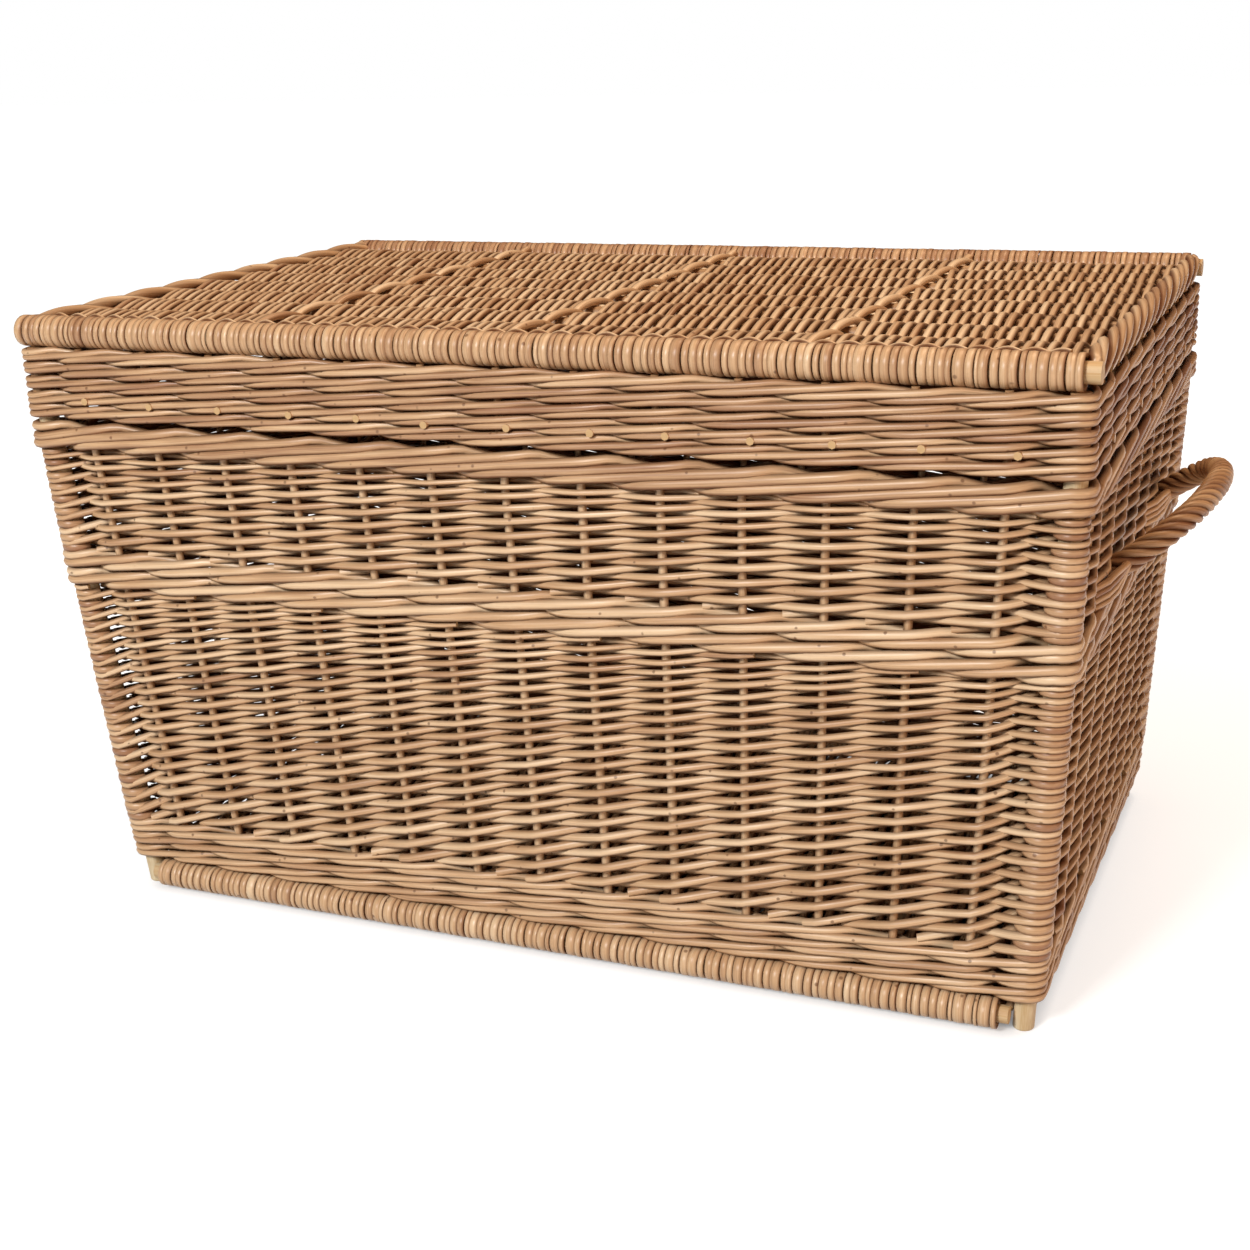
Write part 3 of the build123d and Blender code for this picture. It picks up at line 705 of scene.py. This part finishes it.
# Hinge loops: two rings of thin willow rod, three turns each, drawn through the rear border.
# The lid's hinge rod turns in them.
rod_low, rod_high = box_mm("lid_hinge_rod")
axis_y, axis_z = (rod_low[1] + rod_high[1]) / 2, (rod_low[2] + rod_high[2]) / 2
rod_play = 0.6
for side in ("left", "right"):
    low, high = box_mm(f"hinge_loop_{side}")
    middle_x, wide = (low[0] + high[0]) / 2, high[0] - low[0]
    wire = wide / 6
    turn = np.linspace(0, 6 * np.pi, 90)
    reach = (rod_high[2] - rod_low[2]) / 2 + rod_play + wire
    drop = (axis_z - low[2]) - reach - wire
    points = np.stack([middle_x + (wide - 2 * wire) * (turn / turn[-1] - 0.5),
                       axis_y + reach * np.sin(turn),
                       axis_z + reach * np.cos(turn) - drop * np.maximum(0, -np.cos(turn))], -1)
    rod_piece(f"willow_hinge_loop_{side}", [rod(points, wire, (1, 0, 0), 0.1)], buff, "hamper",
              [f"hinge_loop_{side}"], seed=20)

# Lid sticks: straight peeled willow sticks laid side to side through the lid's weave, thick ones
# at its front and rear edges, whose sawn ends show.
dress("lid_inner_sticks", buff_wood)
for node in ("lid_edge_stick_front", "lid_edge_stick_rear"):
    dress(node, stick_wood)

# Lid top: willow rods from front to back over and under the sticks, and bound rolls round the edge
# sticks. Three pairs of thicker rods are twisted together across it, a fine pair along the front roll.
lid_low, lid_high = box_mm("lid_weave")
lid_edge_low, lid_edge_high = box_mm("lid_edge_stick_front")
lid_middle = (lid_low[2] + lid_high[2]) / 2
lid_roll_radius = (lid_high[2] - lid_low[2]) / 2
lid_edge_y = -(lid_edge_low[1] + lid_edge_high[1]) / 2
lid_sticks = lid_edge_y * (2 * np.arange(1, 9) / 9 - 1)
lid_stick_radius = 4.5
pair_places = (-194.0, -2.0, 198.0)
panel_half = box_mm("lid_inner_sticks")[1][0]
chance = np.random.default_rng(21)
lid_rods = flat_weavers(chance, -panel_half, panel_half, 3.7, 5.2, lid_middle,
                        lid_edge_y - lid_roll_radius + 3, lid_sticks, lid_stick_radius, 0.8, 0.0,
                        pair_places)
rod_piece("woven_lid_top", lid_rods, buff, "lid", ["lid_weave"], seed=21)
lid_roll_pitch = 5.2
lid_roll_flat = 0.45
roll_turns = []
for side, shade in ((-1, 0.12), (1, 0.25)):
    roll_turns += bound_roll(chance, lid_low[0], lid_high[0] - 6, lid_roll_pitch, side * lid_edge_y,
                             lid_middle, lid_roll_radius, lid_roll_flat, shade)
rod_piece("lid_edge_rolls", roll_turns, buff, "lid", [], seed=20)
pair_rods = []
pair_radius = 3.5
pair_flat = 0.75
pair_swing = 4.0
pair_lift = 0.5
for x in pair_places:
    y = np.linspace(lid_roll_radius - lid_edge_y, lid_edge_y - lid_roll_radius, 120)
    turn = np.pi * (y + lid_edge_y) / (2 * lid_edge_y / 9)
    for half in (0, np.pi):
        swing = np.cos(turn + half)
        rise = np.sign(swing) * np.abs(swing) ** 0.6
        points = np.stack([x + pair_swing * np.sin(turn + half), y,
                           lid_middle + (lid_stick_radius + pair_flat * pair_radius) * rise + pair_lift], -1)
        leaf = pair_radius * chance.uniform(0.95, 1.05) * (0.8 + 0.2 * np.abs(swing))
        pair_rods.append(rod(points, leaf, (1, 0, 0), chance.normal(0, 0.08), pair_flat, 0.8))
fine_radius = 1.9
fine_y = lid_roll_radius + 3.5 - lid_edge_y
fine_z = lid_middle + 6.8
for half in (0, np.pi):
    x = np.linspace(4 - panel_half, panel_half - 4, 260)
    turn = np.pi * x / (3 * lid_roll_pitch) + half
    points = np.stack([x, fine_y + 1.8 * np.cos(turn), fine_z + 2.2 * np.sin(turn)], -1)
    pair_rods.append(rod(points, fine_radius, (0, 1, 0), chance.normal(0, 0.1)))
rod_piece("lid_twisted_pairs", pair_rods, buff, "lid", [], seed=22)

# Lid end borders: at the right end short thick willow rods lie over one another like roof tiles, with
# cut ends. At the left end four long rods are twisted together. Both run between the bound rolls.
left_lay = 190.0
tile_step = 30.0
tile_length = 92.0
for side, plait_radius in (("left", 3.9), ("right", 3.7)):
    low, high = box_mm(f"lid_end_border_{side}")
    chance = np.random.default_rng(23)
    middle = (low + high) / 2
    room = (high - low) / 2 - plait_radius
    plait = []
    if side == "left":
        y = np.linspace(low[1] - 7, high[1] + 7, 110)
        for k in range(4):
            turn = 2 * np.pi * (y / left_lay + k / 4)
            points = np.stack([middle[0] + room[0] * np.sin(turn), y,
                               middle[2] + room[2] * np.cos(turn)], -1)
            across = np.stack([np.cos(turn), 0 * y, -np.sin(turn)], -1)
            plait.append(rod(points, plait_radius, across, chance.normal(0, 0.08)))
    else:
        for place in np.arange(low[1] - 60, high[1] - 20, tile_step):
            t = np.linspace(0, 1, 20)
            y = np.clip(place + tile_length * t + chance.normal(0, 3), low[1] - 6, high[1] + 6)
            turn = np.radians(125 - 165 * t)
            points = np.stack([middle[0] + room[0] * np.sin(turn), y,
                               middle[2] + room[2] * np.cos(turn)], -1)
            across = np.stack([np.cos(turn), 0 * y, -np.sin(turn)], -1)
            size = plait_radius * chance.uniform(0.9, 1.06)
            plait.append(rod(points, size, across, chance.normal(0, 0.1)))
        core = [(middle[0], y, middle[2] - 2) for y in (low[1] - 4, 0, high[1] + 4)]
        plait.append(rod(core, 6.0, (1, 0, 0), 0.15))
    rod_piece(f"plaited_lid_end_{side}", plait, buff, "lid",
              [f"lid_end_border_{side}"], seed=23)

# Lid posts and stakes: short pegs at the corners and rods between them, of buff willow.
# They carry the lid's walls and are hidden in the weave.
for node in ["lid_corner_posts"] + [f"lid_stakes_{wall}" for wall in spans]:
    dress(node, buff_wood)

# Lid walls: five rounds of willow rods, three at a time, round the lid's stakes and corner pegs.
# The rear wall starts above the hinge rod, passes over the hinge loops and has plain turns at its corners.
lid_post_radius = 6.0
lid_stake_radius = 2.5
lid_wrap = 11.15
lid_half_x = box_mm("lid_wall_right")[1][0]
lid_half_y = -box_mm("lid_wall_front")[0][1]
lid_stake_inset = 7.5
lid_wall_low, lid_wall_high = box_mm("lid_wall_front")[0][2], box_mm("lid_wall_front")[1][2]
rear_wall_low = box_mm("lid_wall_rear")[0][2]
loop_low, loop_high = box_mm("hinge_loop_right")
loop_x = (loop_low[0] + loop_high[0]) / 2
loop_room = 2.0
loop_spread = 16.0
lid_post_thick = lid_post_radius - 0.8


def lid_uprights(_):
    return ring_of(lid_half_x - lid_wrap, lid_half_y - lid_wrap,
                   lid_half_x - lid_stake_inset, lid_half_y - lid_stake_inset,
                   stake_places(front_stakes, half_length(rim_high[2]) - post_inset),
                   stake_places(end_stakes, half_depth(rim_high[2]) - post_inset))


lid_rounds = 5
lid_strands = 3
lid_round_height = (lid_wall_high - lid_wall_low) / lid_rounds
chance = np.random.default_rng(24)
lid_wale = wale(chance, lid_wall_low, lid_wall_high, lid_rounds, lid_strands, lid_uprights, 1,
                lid_stake_radius, lid_post_thick, 0.4, 0.2)
lid_wale["rear"] = lid_wale["rear"][lid_strands:]
squeeze = (lid_wall_high - rear_wall_low) / (lid_wall_high - lid_wall_low - lid_round_height)
for points, radius, *_ in lid_wale["rear"]:
    points[:, 2] = lid_wall_high - (lid_wall_high - points[:, 2]) * squeeze
    over_loop = np.exp(-((np.abs(points[:, 0]) - loop_x) / loop_spread) ** 2)
    points[:, 2] += over_loop * np.maximum(0, loop_high[2] + loop_room + radius - points[:, 2])
turn_radius = lid_round_height / 4
for m in (0, 32):
    base, turn, _ = lid_uprights(0)[m]
    for level in (1, 3):
        bend = np.radians(turn + np.linspace(-120, 120, 15))
        reach = lid_post_thick + turn_radius
        points = np.stack([base[0] + reach * np.cos(bend), base[1] + reach * np.sin(bend),
                           np.full(15, lid_wall_low + level * turn_radius)], -1)
        lid_wale["rear"].append(rod(points, turn_radius, (0, 0, 1), chance.normal(0, 0.1)))
for wall in spans:
    nodes = [f"lid_wall_{wall}"] + (["lid_corner_wraps"] if wall == "front" else [])
    rod_piece(f"lid_waling_{wall}", lid_wale[wall], buff, "lid", nodes, seed=24)

# Rod ends: the lid stakes' lower ends, turned out through the wall and cut off just outside it.
# They make a row of pale round ends along the front and both ends of the lid.
chance = np.random.default_rng(25)
stub_radius = 2.6
stub_height = 13.0
stub_aside = 8.0
stubs = []
for base, turn, is_post in lid_uprights(0):
    if is_post or turn > 400:
        continue
    way = np.array([math.cos(math.radians(turn)), math.sin(math.radians(turn))])
    z = lid_wall_low + stub_height + chance.normal(0, 0.8)
    shift = np.array([-way[1], way[0]]) * chance.normal(stub_aside, 3)
    inner = np.array(base) + shift
    points = [(*(inner + way * d), z) for d in (0.0, 4.0, 8.2)]
    stubs.append(rod(points, stub_radius, (0, 0, 1), 0.1))
rod_piece("lid_stake_ends", stubs, buff, "lid", [], seed=25)

# Hinge rod: one straight peeled willow rod along the lid's lower rear edge, held by the corner weaving.
# It turns in the two hinge loops.
dress("lid_hinge_rod", stick_wood)

# Studio: white paper floor, a soft lamp before the hamper, a warm one above and a weak one at its right.
# Under the hamper the floor's glow is cut away, so only its cast shadow shows there. Beside it the glow
# rises from grey to full white away from it, a painted shadow round the hamper.
bpy.ops.mesh.primitive_plane_add(size=30.0)
ground = bpy.context.object
ground.name = "studio_floor"
paper, tree, shader = blank_material("white_paper")
shader.inputs["Base Color"].default_value = linear("BEBEBE")
shader.inputs["Roughness"].default_value = 0.9
rays = add(tree, "ShaderNodeLightPath")
seen = add(tree, "ShaderNodeMath", {0: rays.outputs["Is Camera Ray"], 1: rays.outputs["Is Glossy Ray"]},
           operation="MAXIMUM")
spot = add(tree, "ShaderNodeTexCoord").outputs["Object"]
across = add(tree, "ShaderNodeVectorMath", {0: spot}, operation="ABSOLUTE")
beside = add(tree, "ShaderNodeVectorMath", {0: across.outputs[0], 1: (0.32, 0.19, 0)},
             operation="SUBTRACT")
beside = add(tree, "ShaderNodeVectorMath", {0: beside.outputs[0], 1: (0, 0, 0)}, operation="MAXIMUM")
away = add(tree, "ShaderNodeVectorMath", {0: beside.outputs[0]}, operation="LENGTH")
# Painted shadow: no glow under the hamper, 0.72 just beside it, rising to full white 0.8 m away
glow_with_painted_shadow = add(tree, "ShaderNodeValToRGB", {"Fac": away.outputs["Value"]})
glow_with_painted_shadow.color_ramp.elements[0].color = (0.0, 0.0, 0.0, 1.0)
glow_with_painted_shadow.color_ramp.elements[1].color = (1.0, 1.0, 1.0, 1.0)
glow_with_painted_shadow.color_ramp.elements[1].position = 0.8
glow_with_painted_shadow.color_ramp.elements.new(0.03).color = (0.72, 0.72, 0.72, 1.0)
lift = add(tree, "ShaderNodeMath", {0: seen.outputs[0], 1: glow_with_painted_shadow.outputs["Color"]}, operation="MULTIPLY")
shader.inputs["Emission Color"].default_value = linear("FFFFFF")
tree.links.new(lift.outputs[0], shader.inputs["Emission Strength"])
ground.data.materials.append(paper)

world = bpy.data.worlds.new("studio_white")
bpy.context.scene.world = world
world.use_nodes = True
tree = world.node_tree
tree.nodes.clear()
rays = add(tree, "ShaderNodeLightPath")
soft = add(tree, "ShaderNodeBackground", {"Color": linear("FFFFFF"), "Strength": 0.07})
white = add(tree, "ShaderNodeBackground", {"Color": linear("FFFFFF"), "Strength": 1.0})
mixed = add(tree, "ShaderNodeMixShader", {0: rays.outputs["Is Camera Ray"], 1: soft.outputs[0],
                                          2: white.outputs[0]})
output = add(tree, "ShaderNodeOutputWorld", {"Surface": mixed.outputs[0]})


def lamp(name, place, aim, size, power, colour):
    light = bpy.data.lights.new(name, "AREA")
    light.size = size
    light.energy = power
    light.color = linear(colour)[:3]
    holder = bpy.data.objects.new(name, light)
    bpy.context.scene.collection.objects.link(holder)
    back = np.array(place, float) - np.array(aim, float)
    back /= np.linalg.norm(back)
    right = np.cross((0, 0, 1), back)
    right /= np.linalg.norm(right)
    turn = Matrix((right, np.cross(back, right), back)).transposed()
    holder.matrix_world = Matrix.Translation(place) @ turn.to_4x4()


lamp("front_softbox", (-0.6, -3.1, 2.2), (0, 0, 0.25), 0.8, 116, "FFFFFF")
lamp("warm_top", (0.5, 0.4, 2.4), (0, 0, 0.3), 1.0, 27, "FFDDB8")
lamp("warm_side", (2.4, -0.8, 0.9), (0.3, 0, 0.25), 0.8, 17, "FFCFA8")

# Camera: worked out from the hamper's corners in the photo, whose sides are 1250 pixels.
# Turns are in radians, focal length and picture centre in those pixels.
yaw, pitch, roll = -0.4021, -0.3091, -0.0322
photo_side = 1250
focal_pixels = 1851.6
centre_u, centre_v = 649.0, 615.6
forward = np.array([math.sin(yaw) * math.cos(pitch), math.cos(yaw) * math.cos(pitch), math.sin(pitch)])
level = np.array([math.cos(yaw), -math.sin(yaw), 0.0])
upward = np.cross(level, forward)
right = math.cos(roll) * level + math.sin(roll) * upward
top = -math.sin(roll) * level + math.cos(roll) * upward
lens = bpy.data.cameras.new("photo_camera")
lens.sensor_width = 36.0
lens.lens = focal_pixels / photo_side * lens.sensor_width
lens.shift_x = (photo_side / 2 - centre_u) / photo_side
lens.shift_y = (centre_v - photo_side / 2) / photo_side
camera = bpy.data.objects.new("photo_camera", lens)
bpy.context.scene.collection.objects.link(camera)
turn = Matrix((right, top, -forward)).transposed()
camera.matrix_world = Matrix.Translation((0.5367, -1.2609, 0.6241)) @ turn.to_4x4()
bpy.context.scene.camera = camera
bpy.context.scene.view_settings.view_transform = "Standard"
